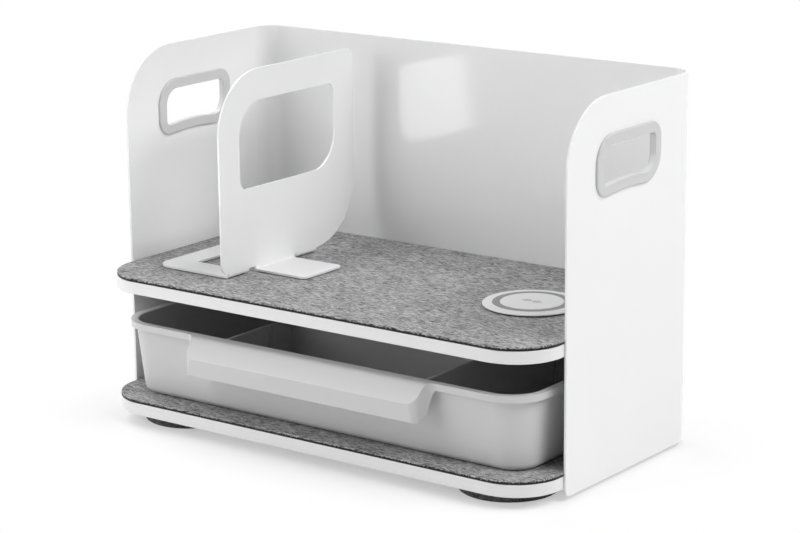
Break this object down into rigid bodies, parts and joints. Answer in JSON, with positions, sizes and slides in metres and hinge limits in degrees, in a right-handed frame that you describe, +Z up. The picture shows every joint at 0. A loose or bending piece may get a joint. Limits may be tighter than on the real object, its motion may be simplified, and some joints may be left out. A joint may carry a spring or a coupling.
{
  "type": "desk organizer with drawer",
  "caption": "Desk organizer with a wrap-around back, felt-topped shelves, a flush charging disc, a sliding bookend divider and a pull-out tray drawer.",
  "frame": {"origin": "on the desk, under the middle of the organizer's overall box", "axes": "+X along the shelves to the right as seen from the front, +Y from the drawer's handle to the back wall, +Z up"},
  "size_m": [0.3834, 0.2076, 0.2653],
  "materials": {
    "white_steel": "fine white powder coat",
    "white_board": "white lacquered fibreboard",
    "bezel_plastic": "light grey moulded plastic",
    "grey_felt": "mottled grey pressed felt",
    "dark_felt": "dark grey pressed felt",
    "zinc_steel": "zinc plated",
    "puck_plastic": "light grey satin plastic",
    "grey_rubber": "mid grey soft ring",
    "coil_copper": "enamelled copper wire",
    "ferrite": "sintered sheet",
    "circuit_laminate": "green laminate",
    "tray_plastic": "light grey satin moulding",
    "pad_rubber": "thin dark foam rubber"
  },
  "bodies": {
    "root": {"steel_wrap": "white_steel", "grip_bezel_outer_left": "bezel_plastic", "grip_bezel_inner_left": "bezel_plastic", "grip_bezel_outer_right": "bezel_plastic", "grip_bezel_inner_right": "bezel_plastic", "lower_shelf_board": "white_board", "upper_shelf_board": "white_board", "lower_felt_mat": "grey_felt", "upper_felt_mat": "grey_felt", "upper_angle_left": "zinc_steel", "upper_angle_right": "zinc_steel", "upper_angle_back": "zinc_steel", "lower_angle_left": "zinc_steel", "lower_angle_right": "zinc_steel", "lower_angle_back": "zinc_steel", "lower_shelf_screws": "zinc_steel", "upper_shelf_screws": "zinc_steel", "foot_screws": "zinc_steel", "foot_washers": "zinc_steel", "felt_foot_front_left": "dark_felt", "felt_foot_front_right": "dark_felt", "felt_foot_rear_left": "dark_felt", "felt_foot_rear_right": "dark_felt", "puck_housing": "puck_plastic", "puck_cover": "puck_plastic", "puck_clamp_nut": "puck_plastic", "puck_top_disc": "puck_plastic", "puck_grip_ring": "grey_rubber", "charging_coil": "coil_copper", "ferrite_shield": "ferrite", "circuit_board": "circuit_laminate", "power_inlet": "zinc_steel"},
    "drawer": {"drawer_tray": "tray_plastic", "drawer_partition_left": "tray_plastic", "drawer_partition_right": "tray_plastic", "drawer_cross_wall": "tray_plastic"},
    "divider": {"divider_plate": "white_steel", "divider_frame_pad": "pad_rubber", "divider_tab_pad": "pad_rubber"}
  },
  "joints": [
    {"name": "drawer_slide", "type": "slide", "parent": "root", "child": "drawer", "axis": [0, -1, 0], "range_m": [0, 0.15]},
    {"name": "divider_slide", "type": "slide", "parent": "root", "child": "divider", "axis": [1, 0, 0], "range_m": [-0.02, 0.128]}
  ]
}
